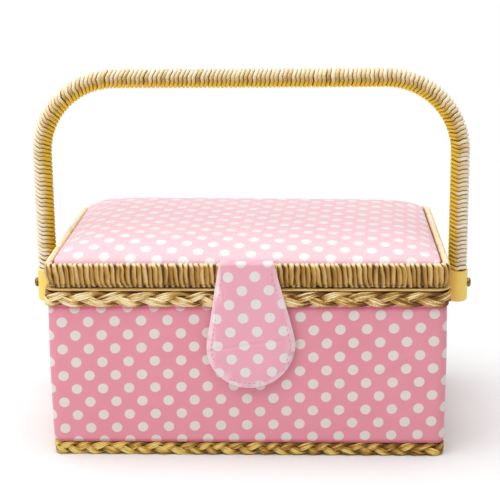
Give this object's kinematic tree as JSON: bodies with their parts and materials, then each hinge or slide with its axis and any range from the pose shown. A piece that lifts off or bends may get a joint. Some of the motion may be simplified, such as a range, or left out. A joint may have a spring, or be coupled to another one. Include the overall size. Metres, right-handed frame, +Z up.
{
  "type": "sewing box",
  "caption": "Fabric-covered sewing box with a padded hinged lid, a magnetic cloth tab, straw trim, a straw-wound swinging handle and a lift-out bobbin tray.",
  "frame": {"origin": "middle of the underside, on the table", "axes": "+X to the right along the front, +Y from the front to the hinges, +Z up"},
  "size_m": [0.2804, 0.1674, 0.2249],
  "materials": {
    "grey_card": "matte",
    "dot_cloth": "matte",
    "wadding": "matte",
    "straw": "satin",
    "lining_cloth": "satin",
    "base_felt": "matte",
    "pale_wood": "matte",
    "yellow_plastic": "satin",
    "dark_brass": "satin",
    "hinge_brass": "satin",
    "plated_steel": "satin",
    "clear_plastic": "gloss"
  },
  "bodies": {
    "box": {"base_board": "grey_card", "front_board": "grey_card", "back_board": "grey_card", "left_board": "grey_card", "right_board": "grey_card", "body_cover": "dot_cloth", "wall_wadding": "wadding", "base_braid": "straw", "top_braid": "straw", "mouth_binding": "straw", "wall_lining": "lining_cloth", "floor_pad": "lining_cloth", "base_sheet": "base_felt", "left_tray_ledge": "pale_wood", "right_tray_ledge": "pale_wood", "left_hinge_box_leaf": "hinge_brass", "right_hinge_box_leaf": "hinge_brass", "left_hinge_pin": "hinge_brass", "right_hinge_pin": "hinge_brass", "hinge_box_screw_left_a": "hinge_brass", "hinge_box_screw_left_b": "hinge_brass", "hinge_box_screw_right_a": "hinge_brass", "hinge_box_screw_right_b": "hinge_brass", "catch_plate": "plated_steel"},
    "lid": {"lid_board": "grey_card", "lid_rim": "straw", "lid_hoop": "pale_wood", "lid_pad": "wadding", "lid_cover": "dot_cloth", "lid_lining": "lining_cloth", "flap_root": "dot_cloth", "left_hinge_lid_leaf": "hinge_brass", "right_hinge_lid_leaf": "hinge_brass", "hinge_lid_screw_left_a": "hinge_brass", "hinge_lid_screw_left_b": "hinge_brass", "hinge_lid_screw_right_a": "hinge_brass", "hinge_lid_screw_right_b": "hinge_brass"},
    "handle_pins": {"left_rivet": "dark_brass", "right_rivet": "dark_brass", "left_spacer": "yellow_plastic", "right_spacer": "yellow_plastic", "left_washer": "dark_brass", "right_washer": "dark_brass"},
    "handle": {"handle_core": "pale_wood", "handle_winding": "straw", "left_socket": "yellow_plastic", "right_socket": "yellow_plastic"},
    "flap": {"flap_face": "dot_cloth", "flap_stiffener": "grey_card", "flap_backing": "dot_cloth", "flap_magnet": "plated_steel"},
    "tray": {"tray": "clear_plastic"}
  },
  "joints": [
    {"name": "lid_hinge", "type": "hinge", "parent": "box", "child": "lid", "pos_m": [0, 0.08195, 0.1049], "axis": [-1, 0, 0], "range_deg": [0, 100]},
    {"name": "rivet_turn", "type": "hinge", "parent": "box", "child": "handle_pins", "pos_m": [0, 0, 0.087], "axis": [-1, 0, 0], "range_deg": [0, 90]},
    {"name": "handle_swing", "type": "hinge", "parent": "handle_pins", "child": "handle", "pos_m": [0, 0, 0.087], "axis": [-1, 0, 0], "range_deg": [-120, 30]},
    {"name": "flap_lift", "type": "hinge", "parent": "lid", "child": "flap", "pos_m": [0, -0.0823, 0.1215], "axis": [-1, 0, 0], "range_deg": [0, 120]},
    {"name": "tray_lift", "type": "slide", "parent": "box", "child": "tray", "axis": [0, 0, 1], "range_m": [0, 0.008]}
  ],
  "couplings": [
    {"joint": "rivet_turn", "follows": "lid_hinge", "ratio": 0.9}
  ]
}
